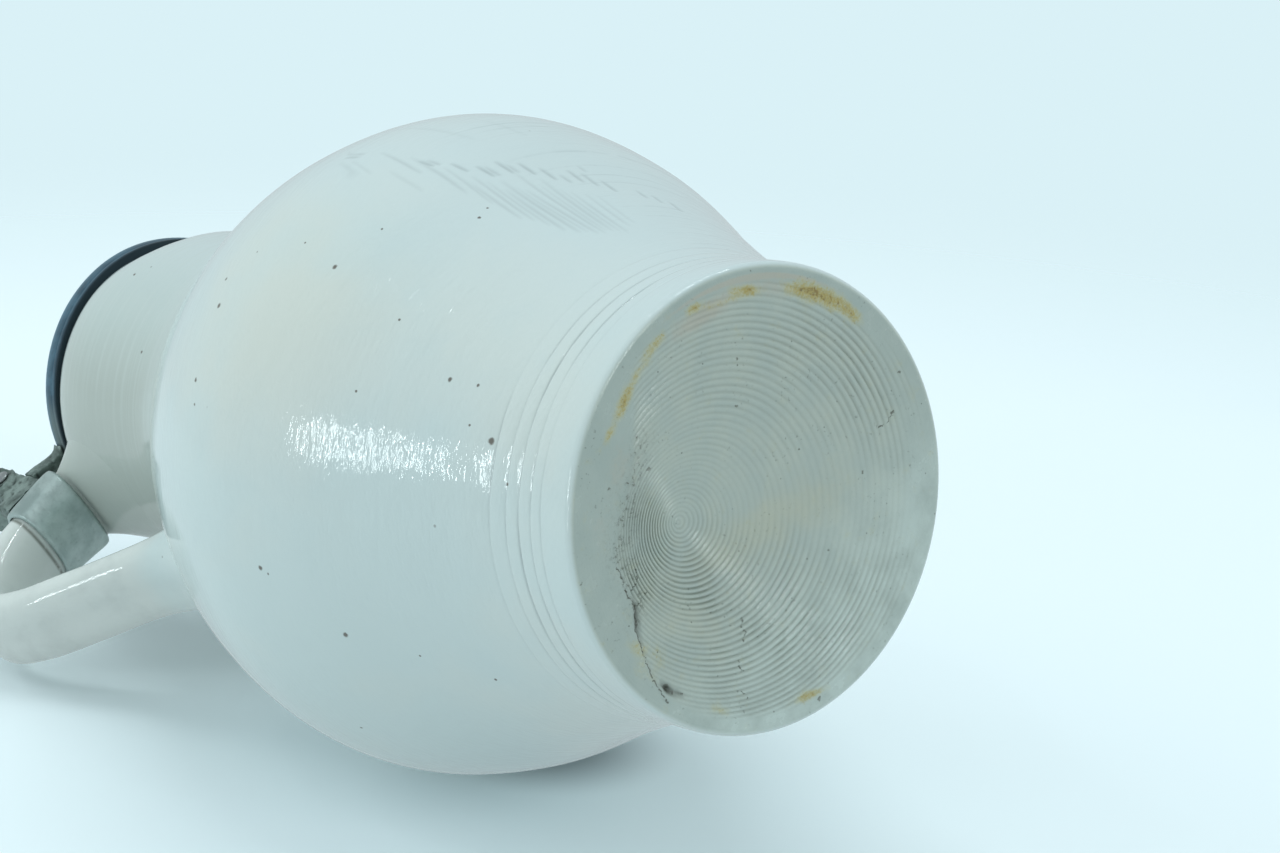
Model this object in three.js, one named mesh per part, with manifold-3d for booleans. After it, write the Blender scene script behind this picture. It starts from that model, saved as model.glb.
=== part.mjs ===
// Stoneware cider jug with a hinged pewter lid.
// Millimetres, +Z up. The origin is the middle of the base, the handle is on +X and the pouring lip on -X.
import * as THREE from 'three';
import { mergeVertices } from 'three/addons/utils/BufferGeometryUtils.js';
import Module from 'manifold-3d';

const wasm = await Module();
wasm.setup();

// Driving dimensions of the clay
const gap = 0.3; // clearance between pieces that touch
const aroundSteps = 60; // facets round the body and the lid
const baseRadius = 57.5;
const baseEdge = 1.6; // rounding between the base and the foot
const floorHeight = 9;
const wallThickness = 6;
const rimHeight = 278;
const rimRadius = 43.3;
const rimRound = 2.4;
const turnedLines = [9.6, 14.2, 19.4, 24.3, 30]; // heights of the fine lines turned into the foot
const lineDepth = 0.45;
const lineHalfWidth = 0.9;

// Outside of the wall as [height, radius], from the foot to just under the rim
const wallRows = [
  [baseEdge, baseRadius], [18, 58], [36, 62.2], [62, 71.8], [90, 83.7], [118, 88.8], [146, 83.4],
  [172, 71.8], [192, 59.6], [208, 50.5], [222, 47.2], [240, 47.7], [257, 48.3], [269, 46.5],
  [rimHeight - rimRound, rimRadius],
];

// Pouring lip, pulled out of the rim with a pinch on either side
const lipReach = 10;
const lipSpread = 24; // degrees
const lipPinch = 3.4;
const pinchAngle = 62; // degrees from the lip
const pinchSpread = 20;
const lipStart = 242; // height where the neck starts to follow the lip

// Handle: a flattened bar along a curve in the XZ plane
const handleHalfWidth = 11.9;
const handleHalfThickness = 6.9;
const handleRoute = [
  [38, 266], [46, 267.4], [60, 268.4], [76, 266.4], [91, 258.8], [99.6, 246], [95.6, 233], [85, 219],
  [67.5, 197.4], [60, 187], [54, 176],
];
const thumbGroove = 0.8; // depth of the groove down the back
const neckFlareLength = 8; // the handle spreads over this length where it joins the neck
const neckFlareWidth = 10;
const neckFlareDrop = 13;
const neckFlareRise = 2.6;
const shoulderFlareWidth = 4;
const shoulderFlareDepth = 4;
const shoulderFlareFrom = 0.87; // share of the route where the spread at the shoulder starts

// Pewter mount
const bandFrom = 52.5; // where the band starts and ends along the handle, as distances from the axis
const bandTo = 70.5;
const bandThickness = 1.6;
const hingeX = 60;
const hingeZ = 289;
const knuckleRadius = 4.5;
const pinRadius = 1.6;
const movingHalf = 4.6; // half the length of the moving knuckle
const hingeHalf = 14.4; // half the length of the whole hinge
const saddleHalf = 13.4; // half width of the casting that sits on the band

// Lid
const lidSeat = rimHeight + gap;
const edgeTop = lidSeat + 7.1; // top of the lid's upright edge
const lidTop = 300.5;
const lidWall = 2.4;
const tangHalf = 10.9; // half width of the tang beside the lid
const tangFlare = 1.4; // how much wider it is at the hinge
const tangFillet = 1.6; // how far the tang widens where it meets the lid's edge
const tangBack = hingeX - knuckleRadius - 0.6; // where the tang ends in front of the hinge
const leafHalf = 9.4; // half width of the tang's leaf, which laps over the top of the edge
const leafTop = edgeTop + 1.9;
const collarOuter = 34.2; // low collar under the lid, which drops into the mouth
const collarInner = 32.2;
const collarDrop = 2.6;

// Thumb rest
const thumbHeight = 27;
const thumbHalfWidth = 11;

const deg = Math.PI / 180;

// Radius of the wall at a height, on a smooth curve through the rows
function radiusAt(rows, height) {
  const last = rows.length - 1;
  let i = 0;
  while (i < last - 1 && rows[i + 1][0] < height) i += 1;
  const slope = (k) => {
    const a = rows[Math.max(k - 1, 0)];
    const b = rows[Math.min(k + 1, last)];
    return (b[1] - a[1]) / (b[0] - a[0]);
  };
  const [z0, r0] = rows[i];
  const [z1, r1] = rows[i + 1];
  const span = z1 - z0;
  const t = Math.min(Math.max((height - z0) / span, 0), 1);
  const s = 1 - t;
  const between = r0 * s * s * (1 + 2 * t) + r1 * t * t * (3 - 2 * t);
  return between + span * s * t * (slope(i) * s - slope(i + 1) * t);
}

// How far the wall stands in or out at a point, because of the pouring lip
function lipShift(x, y, z) {
  const rise = Math.min(Math.max((z - lipStart) / (rimHeight - lipStart), 0), 1);
  const fromLip = Math.abs(Math.atan2(y, -x)) / deg;
  const out = lipReach * Math.exp(-((fromLip / lipSpread) ** 2));
  const pinch = lipPinch * Math.exp(-(((fromLip - pinchAngle) / pinchSpread) ** 2));
  return (out - pinch) * rise * rise * (1.6 - 0.6 * rise);
}

// Turns a profile of [radius, height] pairs round the Z axis
function turned(profile, steps = aroundSteps) {
  const points = profile.map(([r, z]) => new THREE.Vector2(r, z));
  return new THREE.LatheGeometry(points, steps).rotateX(Math.PI / 2);
}

// Moves the points of the upper neck out to the pouring lip
function withLip(geometry) {
  const position = geometry.attributes.position;
  for (let i = 0; i < position.count; i += 1) {
    const x = position.getX(i);
    const y = position.getY(i);
    const radius = Math.hypot(x, y);
    if (radius < 1) continue;
    const scale = 1 + lipShift(x, y, position.getZ(i)) / radius;
    position.setXY(i, x * scale, y * scale);
  }
  return geometry;
}

// Closed solid from a geometry, ready to be cut or joined
function solid(geometry) {
  const bare = geometry.clone();
  bare.deleteAttribute('normal');
  bare.deleteAttribute('uv');
  const merged = mergeVertices(bare, 1e-4);
  const index = [];
  for (let i = 0; i < merged.index.count; i += 3) {
    const corner = [0, 1, 2].map((k) => merged.index.getX(i + k));
    if (new Set(corner).size === 3) index.push(...corner);
  }
  const mesh = new wasm.Mesh({
    numProp: 3,
    vertProperties: new Float32Array(merged.attributes.position.array),
    triVerts: new Uint32Array(index),
  });
  return new wasm.Manifold(mesh);
}

// Geometry from a solid
function geometryOf(body) {
  const mesh = body.getMesh();
  const geometry = new THREE.BufferGeometry();
  geometry.setAttribute('position', new THREE.BufferAttribute(new Float32Array(mesh.vertProperties), 3));
  geometry.setIndex(new THREE.BufferAttribute(new Uint32Array(mesh.triVerts), 1));
  geometry.computeVertexNormals();
  return geometry;
}

function box(x0, x1, y0, y1, z0, z1) {
  const geometry = new THREE.BoxGeometry(x1 - x0, y1 - y0, z1 - z0);
  return solid(geometry.translate((x0 + x1) / 2, (y0 + y1) / 2, (z0 + z1) / 2));
}

// Round bar along Y on the hinge axis
function hingeRod(radius, y0, y1, steps = 24) {
  const geometry = new THREE.CylinderGeometry(radius, radius, y1 - y0, steps);
  return solid(geometry.translate(hingeX, (y0 + y1) / 2, hingeZ));
}

// Jug body

// Heights at which the wall has a ring of points, with three at each turned line
function wallHeights() {
  const lines = turnedLines.flatMap((z) => [z - lineHalfWidth, z, z + lineHalfWidth]);
  const rest = [36, 46, 57, 68, 79, 90, 101, 112, 122, 132, 143, 154, 165, 176, 186, 195, 204];
  const neck = [213, 223, 234, 244, 252, 259, 265, 271];
  return [baseEdge, ...lines, ...rest, ...neck, rimHeight - rimRound];
}

// Outside profile from the middle of the base to the top of the rim, grown outwards by a little if asked
function outsideProfile(grow, withLines) {
  const wall = wallHeights().map((z) => {
    const line = withLines && turnedLines.includes(z) ? lineDepth : 0;
    return [radiusAt(wallRows, z) - line + grow, z];
  });
  const top = rimHeight + grow;
  return [
    [0, -grow], [baseRadius - baseEdge + grow, -grow], [baseRadius - 0.4 + grow, 0.6], ...wall,
    [rimRadius - 0.7 + grow, rimHeight - 0.8], [rimRadius - rimRound, top],
  ];
}

function jugBody() {
  const inside = [265, 250, 235, 220, 206, 190, 172, 152, 130, 106, 80, 54, 32, 18];
  const innerWall = inside.map((z) => [radiusAt(wallRows, z) - wallThickness, z]);
  const profile = [
    ...outsideProfile(0, true),
    [rimRadius - 4.4, rimHeight - 0.8], [rimRadius - 5.2, rimHeight - 3], ...innerWall,
    [46, floorHeight + 2.2], [38, floorHeight], [0, floorHeight],
  ];
  return withLip(turned(profile));
}

// Handle

const route = new THREE.CatmullRomCurve3(
  handleRoute.map(([x, z]) => new THREE.Vector3(x, 0, z)), false, 'centripetal',
);

// Where the route first reaches a distance from the axis
function routeAt(x) {
  let t = 0;
  while (route.getPointAt(t).x < x) t += 0.0005;
  return t;
}

// A bar whose rings are carried along the route. sizeAt gives each ring its half width and half thickness.
// The crowding brings the rings closer together towards both ends.
function routeBar(t0, t1, rings, sides, sizeAt, crowding = 0) {
  const geometry = new THREE.CylinderGeometry(1, 1, 1, sides, rings);
  const position = geometry.attributes.position;
  for (let i = 0; i < position.count; i += 1) {
    const u = 0.5 - position.getY(i);
    const share = u - crowding * Math.sin(2 * Math.PI * u);
    const t = t0 + (t1 - t0) * Math.min(Math.max(share, 0), 1);
    const centre = route.getPointAt(t);
    const tangent = route.getTangentAt(t);
    const { half, thick, spread = 0, drop = 0, rise = 0, groove = 0 } = sizeAt(t);
    const across = position.getX(i);
    const along = position.getZ(i);
    // A rounded section, a little fuller than an ellipse, with a groove down its back
    const fuller = 1 + 0.05 * (2 * across * along) ** 2;
    const back = along > 0 ? groove * along * Math.exp(-((across / 0.36) ** 2)) : 0;
    const under = (1 - along) / 2;
    const lift = along * thick * fuller - back - drop * under ** 2 + rise * (1 - under) ** 2;
    const side = across * (half + spread * (0.2 + 0.8 * under)) * fuller;
    position.setXYZ(i, centre.x - tangent.z * lift, side, centre.z + tangent.x * lift);
  }
  return solid(geometry);
}

// Half sizes of the handle. It spreads at the neck, mostly down and sideways, and all round at the shoulder.
function handleSize(t) {
  const toBand = (bandFrom - 1.2 - route.getPointAt(t).x) / neckFlareLength;
  const atNeck = t < 0.5 ? Math.min(Math.max(toBand, 0), 1) ** 1.3 : 0;
  const atShoulder = Math.max(0, (t - shoulderFlareFrom) / (1 - shoulderFlareFrom)) ** 2;
  return {
    half: handleHalfWidth + shoulderFlareWidth * atShoulder,
    thick: handleHalfThickness + shoulderFlareDepth * atShoulder,
    spread: neckFlareWidth * atNeck,
    drop: neckFlareDrop * atNeck,
    rise: neckFlareRise * atNeck,
    groove: thumbGroove * (1 - atShoulder),
  };
}

function handle() {
  const bar = routeBar(0, 1, 60, 18, handleSize, 0.1);
  const clearOfBody = solid(withLip(turned([...outsideProfile(gap, false), [0, rimHeight + gap]])));
  const clearOfLid = box(0, bandFrom, -30, 30, rimHeight - 0.5, rimHeight + 30);
  return geometryOf(bar.subtract(clearOfBody).subtract(clearOfLid));
}

// Pewter band and hinge

function bandSleeve(grow, extra) {
  const size = { half: handleHalfWidth + grow, thick: handleHalfThickness + grow };
  return routeBar(routeAt(bandFrom - extra), routeAt(bandTo + extra), 6, 24, () => size);
}

function handleBand() {
  return geometryOf(bandSleeve(gap + bandThickness, 0).subtract(bandSleeve(gap, 2)));
}

function hingeBracket() {
  const saddle = box(hingeX - 4.4, bandTo - 1, -saddleHalf, saddleHalf, 270, hingeZ - 9);
  const post = box(hingeX - 4.4, hingeX + 6.2, -saddleHalf, saddleHalf, 270, hingeZ - 4.2);
  const cheeks = [-1, 1].map((side) => {
    const y0 = side > 0 ? movingHalf + gap : -hingeHalf;
    const y1 = side > 0 ? hingeHalf : -movingHalf - gap;
    const web = box(
      hingeX - 3.4, hingeX + 4.2, Math.max(y0, -saddleHalf), Math.min(y1, saddleHalf), hingeZ - 7, hingeZ - 1,
    );
    return hingeRod(knuckleRadius, y0, y1).add(web);
  });
  const slot = movingHalf + gap;
  const tongueRoom = box(hingeX - 8, hingeX, -slot, slot, hingeZ - 5, hingeZ);
  const room = hingeRod(knuckleRadius + 0.7, -slot, slot).add(tongueRoom);
  const bore = hingeRod(pinRadius + gap, -30, 30);
  const whole = saddle.add(post).add(cheeks[0]).add(cheeks[1]).subtract(room).subtract(bore);
  return geometryOf(whole.subtract(bandSleeve(2 * gap + bandThickness, 3)));
}

function hingePin() {
  const headThickness = 1;
  const end = hingeHalf + gap;
  const shank = hingeRod(pinRadius, -end - 0.2, end + 0.2);
  const heads = [-1, 1].map((side) => {
    const y0 = side > 0 ? end : -end - headThickness;
    return hingeRod(pinRadius + 0.9, y0, y0 + headThickness);
  });
  return geometryOf(shank.add(heads[0]).add(heads[1]));
}

// Lid

// Moves the points of the lid's edge out, so that it covers the pouring lip
function overLip(geometry) {
  const position = geometry.attributes.position;
  for (let i = 0; i < position.count; i += 1) {
    const x = position.getX(i);
    const y = position.getY(i);
    const radius = Math.hypot(x, y);
    const share = Math.min(Math.max((radius - rimRadius + 8) / 6, 0), 1);
    if (share === 0) continue;
    const fromLip = Math.abs(Math.atan2(y, -x)) / deg;
    const scale = 1 + (share * lipReach * Math.exp(-((fromLip / lipSpread) ** 2))) / radius;
    position.setXY(i, x * scale, y * scale);
  }
  return geometry;
}

// Outside of the lid from its seat over the edge and the dome to the middle, as [radius, height]
function lidOutside(grow) {
  const outer = rimRadius + grow;
  const dome = [];
  for (let i = 0; i <= 6; i += 1) {
    const a = (i / 6) * 90 * deg;
    dome.push([(rimRadius - 11.5) * Math.cos(a), edgeTop + 3 + grow + (lidTop - edgeTop - 3) * Math.sin(a)]);
  }
  dome[6][0] = 0;
  return [
    [outer, lidSeat - grow], [outer, edgeTop - 1.2],
    [outer - 0.4, edgeTop - 0.4], [outer - 1.2, edgeTop + grow],
    [rimRadius - 8, edgeTop + grow], [rimRadius - 8.6, edgeTop + 1.6 + grow], ...dome,
  ];
}

function lid() {
  const hollow = [];
  for (let i = 5; i >= 0; i -= 1) {
    const a = (i / 5) * 90 * deg;
    const height = edgeTop - 1 + (lidTop - lidWall - edgeTop + 1) * Math.sin(a);
    hollow.push([(collarInner - 0.6) * Math.cos(a), height]);
  }
  hollow[0][0] = 0;
  const underside = [
    ...hollow, [collarInner, lidSeat + 3], [collarInner, lidSeat - collarDrop],
    [collarOuter, lidSeat - collarDrop], [collarOuter + 0.4, lidSeat],
  ];
  return overLip(turned([...underside, ...lidOutside(0)]));
}

// Plan of the web that joins the lid's edge to the hinge, with a fillet on either side
function webPlan() {
  const plan = new THREE.Shape();
  plan.moveTo(tangBack, -tangHalf - tangFlare);
  plan.lineTo(tangBack, tangHalf + tangFlare);
  plan.lineTo(rimRadius + 2.5, tangHalf);
  plan.quadraticCurveTo(rimRadius, tangHalf, rimRadius - 1.4, tangHalf + tangFillet);
  plan.lineTo(rimRadius - 6, tangHalf);
  plan.lineTo(rimRadius - 6, -tangHalf);
  plan.lineTo(rimRadius - 1.4, -tangHalf - tangFillet);
  plan.quadraticCurveTo(rimRadius, -tangHalf, rimRadius + 2.5, -tangHalf);
  plan.closePath();
  return plan;
}

// Plan of the leaf that laps over the top of the lid's edge
function leafPlan() {
  const plan = new THREE.Shape();
  plan.moveTo(tangBack, -leafHalf - 1);
  plan.lineTo(tangBack, leafHalf + 1);
  plan.lineTo(rimRadius + 1, leafHalf);
  plan.quadraticCurveTo(rimRadius - 5, leafHalf, rimRadius - 7, 4);
  plan.quadraticCurveTo(rimRadius - 7.6, 0, rimRadius - 7, -4);
  plan.quadraticCurveTo(rimRadius - 5, -leafHalf, rimRadius + 1, -leafHalf);
  plan.closePath();
  return plan;
}

function plate(plan, z0, z1) {
  const geometry = new THREE.ExtrudeGeometry(plan, { depth: z1 - z0, bevelEnabled: false, curveSegments: 5 });
  return solid(geometry.translate(0, 0, z0));
}

function lidTang() {
  const web = plate(webPlan(), lidSeat + 2.2, edgeTop);
  const leaf = plate(leafPlan(), edgeTop - 2, leafTop);
  const tongue = box(hingeX - 8, hingeX, -movingHalf, movingHalf, hingeZ - 4.2, leafTop);
  const knuckle = hingeRod(knuckleRadius, -movingHalf, movingHalf);
  const bore = hingeRod(pinRadius + gap, -30, 30);
  const clearOfLid = solid(turned([[0, lidSeat - 5], [rimRadius + gap, lidSeat - 5], ...lidOutside(gap)]));
  return geometryOf(web.add(leaf).add(tongue).add(knuckle).subtract(bore).subtract(clearOfLid));
}

// Side outline of the thumb rest, and its rounded front outline, which cut each other to the finished lever
function thumbRest() {
  const foot = leafTop + gap;
  const side = new THREE.Shape();
  side.moveTo(45.5, foot);
  side.lineTo(54.2, foot);
  side.quadraticCurveTo(53.4, foot + 6, 55.4, foot + 13);
  side.quadraticCurveTo(57.5, foot + 20, 63.5, foot + thumbHeight - 2.4);
  side.quadraticCurveTo(64.4, foot + thumbHeight, 61.6, foot + thumbHeight);
  side.quadraticCurveTo(54.6, foot + 23.5, 51.8, foot + 14);
  side.quadraticCurveTo(50, foot + 5, 45.5, foot + 2.2);
  side.closePath();
  const front = new THREE.Shape();
  front.moveTo(-6.5, foot - 1);
  front.lineTo(6.5, foot - 1);
  front.quadraticCurveTo(4.2, foot + 7, 6.4, foot + 12);
  front.quadraticCurveTo(thumbHalfWidth + 1.5, foot + 17, thumbHalfWidth - 1, foot + 24);
  front.quadraticCurveTo(6, foot + thumbHeight + 2.4, 0, foot + thumbHeight + 2.4);
  front.quadraticCurveTo(-6, foot + thumbHeight + 2.4, 1 - thumbHalfWidth, foot + 24);
  front.quadraticCurveTo(-thumbHalfWidth - 1.5, foot + 17, -6.4, foot + 12);
  front.quadraticCurveTo(-4.2, foot + 7, -6.5, foot - 1);
  front.closePath();
  const settings = { bevelEnabled: false, curveSegments: 6 };
  const sideBar = new THREE.ExtrudeGeometry(side, { ...settings, depth: 40 });
  sideBar.rotateX(Math.PI / 2).translate(0, 20, 0);
  const frontBar = new THREE.ExtrudeGeometry(front, { ...settings, depth: 40 });
  frontBar.rotateX(Math.PI / 2).rotateZ(Math.PI / 2).translate(35, 0, 0);
  return geometryOf(solid(sideBar).intersect(solid(frontBar)));
}

// The finished jug

function finish(color, roughness, metalness) {
  return new THREE.MeshStandardMaterial({ color, roughness, metalness });
}

const stoneware = finish('#c9cdc8', 0.28, 0);
const brightPewter = finish('#8f9b99', 0.42, 0.85);
const darkPewter = finish('#56646b', 0.5, 0.85);
const roughPewter = finish('#6d7675', 0.62, 0.8);
const steel = finish('#8d9094', 0.35, 0.9);

const jug = new THREE.Group();
const lidGroup = new THREE.Group();

function place(group, name, geometry, material) {
  const mesh = new THREE.Mesh(geometry, material);
  mesh.name = name;
  group.add(mesh);
}

place(jug, 'jug_body', jugBody(), stoneware);
place(jug, 'handle', handle(), stoneware);
place(jug, 'handle_band', handleBand(), brightPewter);
place(jug, 'hinge_bracket', hingeBracket(), roughPewter);
place(jug, 'hinge_pin', hingePin(), steel);
place(lidGroup, 'lid', lid(), darkPewter);
place(lidGroup, 'lid_tang', lidTang(), roughPewter);
place(lidGroup, 'thumb_rest', thumbRest(), roughPewter);
jug.add(lidGroup);

export default jug;
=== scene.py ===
# Stoneware cider jug with a hinged pewter lid, lying on a pale table.
# Metres, +Z up the jug, the handle on +X and the pouring lip on -X.
import math

import bpy
import numpy as np
from mathutils import Matrix, Vector
from mathutils.noise import fractal, noise


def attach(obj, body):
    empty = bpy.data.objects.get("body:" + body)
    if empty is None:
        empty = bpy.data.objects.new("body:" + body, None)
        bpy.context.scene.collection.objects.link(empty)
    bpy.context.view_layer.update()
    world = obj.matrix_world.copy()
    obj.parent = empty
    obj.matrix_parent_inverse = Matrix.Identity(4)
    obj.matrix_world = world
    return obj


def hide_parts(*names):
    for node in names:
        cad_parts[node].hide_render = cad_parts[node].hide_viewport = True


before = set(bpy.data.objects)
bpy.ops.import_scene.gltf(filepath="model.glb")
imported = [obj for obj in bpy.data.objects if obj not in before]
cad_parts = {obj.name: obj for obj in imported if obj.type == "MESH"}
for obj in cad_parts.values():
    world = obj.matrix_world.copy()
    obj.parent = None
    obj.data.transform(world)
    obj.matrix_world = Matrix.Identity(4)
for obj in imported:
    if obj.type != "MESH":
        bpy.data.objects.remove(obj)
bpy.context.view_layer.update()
print("frame loaded")

# Camera

cameraView = {
    "place": (0.346776, 0.443853, -0.668531),
    "right": (-0.630448, -0.486032, -0.605234),
    "down": (0.671532, -0.732583, -0.111209),
    "lens": 101.25,
    "sensor": 36,
    "clip": (0.05, 20),
}


def makeCamera(view):
    right, down = Vector(view["right"]), Vector(view["down"])
    forward = right.cross(down)
    data = bpy.data.cameras.new("camera")
    data.lens, data.sensor_width = view["lens"], view["sensor"]
    data.clip_start, data.clip_end = view["clip"]
    facing = Matrix((right, -down, -forward)).transposed()
    camera = bpy.data.objects.new("camera", data)
    camera.matrix_world = Matrix.Translation(view["place"]) @ facing.to_4x4()
    bpy.context.scene.collection.objects.link(camera)
    bpy.context.scene.camera = camera
    return right, down, forward


right, down, forward = makeCamera(cameraView)


# Direction in the jug's frame from one seen by the camera
def fromCamera(toRight, toDown, toFront):
    return (right * toRight + down * toDown + forward * toFront).normalized()


# Shader values written as plain sums

class Value:
    def __init__(self, paint, socket):
        self.paint, self.socket = paint, socket

    def __add__(self, other):
        return self.paint.sum("ADD", self, other)

    def __sub__(self, other):
        return self.paint.sum("SUBTRACT", self, other)

    def __rsub__(self, other):
        return self.paint.sum("SUBTRACT", other, self)

    def __mul__(self, other):
        return self.paint.sum("MULTIPLY", self, other)

    def __pow__(self, other):
        return self.paint.sum("POWER", self, other)

    __radd__, __rmul__ = __add__, __mul__


# Builds the nodes of a material or of the world
class Paint:
    def __init__(self, owner, output="ShaderNodeOutputMaterial"):
        owner.use_nodes = True
        self.owner, self.tree = owner, owner.node_tree
        self.tree.nodes.clear()
        self.output = self.tree.nodes.new(output)

    def node(self, kind, settings=None, sockets=None, out=0):
        made = self.tree.nodes.new("ShaderNode" + kind)
        for name, value in (settings or {}).items():
            setattr(made, name, value)
        for name, value in (sockets or {}).items():
            if isinstance(value, Value):
                self.tree.links.new(value.socket, made.inputs[name])
            else:
                made.inputs[name].default_value = value
        return Value(self, made.outputs[out])

    def sum(self, operation, a, b):
        wide = any(isinstance(v, Value) and v.socket.type in ("VECTOR", "RGBA") for v in (a, b))
        if not wide:
            return self.node("Math", {"operation": operation}, {0: a, 1: b})
        a, b = [(v, v, v) if isinstance(v, float) else v for v in (a, b)]
        return self.node("VectorMath", {"operation": operation}, {0: a, 1: b})

    def fade(self, value, low, high):
        sockets = {"Value": value, "From Min": low, "From Max": high}
        return self.node("MapRange", {"interpolation_type": "SMOOTHSTEP"}, sockets)

    def place(self):
        return self.node("TexCoord", out=3)

    def axes(self):
        place = self.place()
        return [self.node("SeparateXYZ", sockets={0: place}, out=i) for i in range(3)]

    def stretched(self, scale):
        return self.node("Mapping", sockets={"Vector": self.place(), "Scale": scale})

    def grain(self, size, detail=3.0, rough=0.55, vector=None, color=False):
        vector = vector or self.place()
        sockets = {"Vector": vector, "Scale": 1 / size, "Detail": detail, "Roughness": rough}
        return self.node("TexNoise", sockets=sockets, out=int(color))

    # Noise along one measure only
    def stripes(self, along, scale, detail):
        return self.node("TexNoise", {"noise_dimensions": "1D"}, {"W": along, "Scale": scale, "Detail": detail})

    def spots(self, size):
        return self.node("TexVoronoi", sockets={"Vector": self.place(), "Scale": 1 / size})

    def away(self, vector, where):
        return self.node("VectorMath", {"operation": "DISTANCE"}, {0: vector, 1: where}, out=1)

    def attribute(self, name):
        return self.node("Attribute", {"attribute_name": name}, out=2)

    def mix(self, factor, a, b):
        a, b = [(*c, 1) if isinstance(c, tuple) else c for c in (a, b)]
        return self.node("Mix", {"data_type": "RGBA"}, {0: factor, 6: a, 7: b}, out=2)

    # Lays tones over a color one after the other, each (amount, tone)
    def layered(self, color, rows):
        for amount, tone in rows:
            color = self.mix(amount, color, tone)
        return color

    def bump(self, height, distance, strength=1.0, after=None):
        sockets = {"Height": height, "Distance": distance, "Strength": strength}
        if after:
            sockets["Normal"] = after
        return self.node("Bump", sockets=sockets)

    def surface(self, value):
        self.tree.links.new(value.socket, self.output.inputs["Surface"])
        return self.owner

    def shader(self, **sockets):
        named = {name.replace("_", " "): value for name, value in sockets.items()}
        return self.surface(self.node("BsdfPrincipled", sockets=named))


# Modelling helpers

def mode(kind):
    bpy.ops.object.mode_set(mode=kind)


def selectAll(action):
    bpy.ops.mesh.select_all(action=action)


def clearSelection():
    if bpy.context.object and bpy.context.object.mode == "EDIT":
        mode("OBJECT")
    bpy.ops.object.select_all(action="DESELECT")


def pick(piece):
    clearSelection()
    piece.select_set(True)
    bpy.context.view_layer.objects.active = piece


# One vector of each vertex or face, as rows of three
def vectors(items, name):
    flat = np.zeros(len(items) * 3)
    items.foreach_get(name, flat)
    return flat.reshape(-1, 3)


def points(piece):
    return vectors(piece.data.vertices, "co")


def setPoints(piece, where):
    piece.data.vertices.foreach_set("co", np.asarray(where, float).ravel())
    piece.data.update()


def edit(piece):
    pick(piece)
    mode("EDIT")
    selectAll("SELECT")


def apply(piece, kind, **settings):
    pick(piece)
    modifier = piece.modifiers.new(kind.lower(), kind)
    for name, value in settings.items():
        setattr(modifier, name, value)
    bpy.ops.object.modifier_apply(modifier=modifier.name)


# A line of points in the XZ plane, drawn out from one vertex
def lineOf(name, outline):
    clearSelection()
    bpy.ops.mesh.primitive_plane_add(size=0.001)
    piece = bpy.context.object
    piece.name = piece.data.name = name
    edit(piece)
    bpy.ops.mesh.merge(type="CENTER")
    last = outline[0]
    bpy.ops.transform.translate(value=(last[0], 0, last[1]))
    for x, z in outline[1:]:
        bpy.ops.mesh.extrude_region_move(TRANSFORM_OT_translate={"value": (x - last[0], 0, z - last[1])})
        last = (x, z)
    return piece


# Spins an outline of [radius, height] round the Z axis into a closed solid
def turn(name, outline, steps):
    piece = lineOf(name, outline)
    selectAll("SELECT")
    bpy.ops.mesh.spin(steps=steps, angle=2 * math.pi, center=(0, 0, 0), axis=(0, 0, 1))
    selectAll("SELECT")
    bpy.ops.mesh.remove_doubles(threshold=0.000004)
    bpy.ops.mesh.normals_make_consistent(inside=False)
    mode("OBJECT")
    return piece


def smooth(piece, angle):
    pick(piece)
    bpy.ops.object.shade_smooth_by_angle(angle=math.radians(angle))


def addAttribute(piece, name, values):
    attribute = piece.data.attributes.new(name, "FLOAT", "POINT")
    attribute.data.foreach_set("value", np.asarray(values, np.float32))


def finishPiece(piece, body, slot, material, *nodes):
    piece.data.materials.clear()
    piece.data.materials.append(material)
    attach(piece, body)
    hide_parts(*nodes)
    piece.data.calc_loop_triangles()
    print(piece.name, len(piece.data.loop_triangles), "triangles")


def azimuthOf(x, y):
    return np.degrees(np.arctan2(y, x))


def bell(value, middle, width):
    return np.exp(-(((value - middle) / width) ** 2))


def step(value, low, high):
    t = np.clip((value - low) / (high - low), 0, 1)
    return t * t * (3 - 2 * t)


def rough(x, y, size, seed, octaves=3):
    return np.array([fractal((a / size, b / size, seed), 1.0, 2.0, octaves) for a, b in zip(x, y)])


# Soft noise at each point, finer with a higher frequency
def unevenAt(where, frequency):
    return np.array([noise(tuple(p * frequency)) for p in where])


# Jug body

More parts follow.
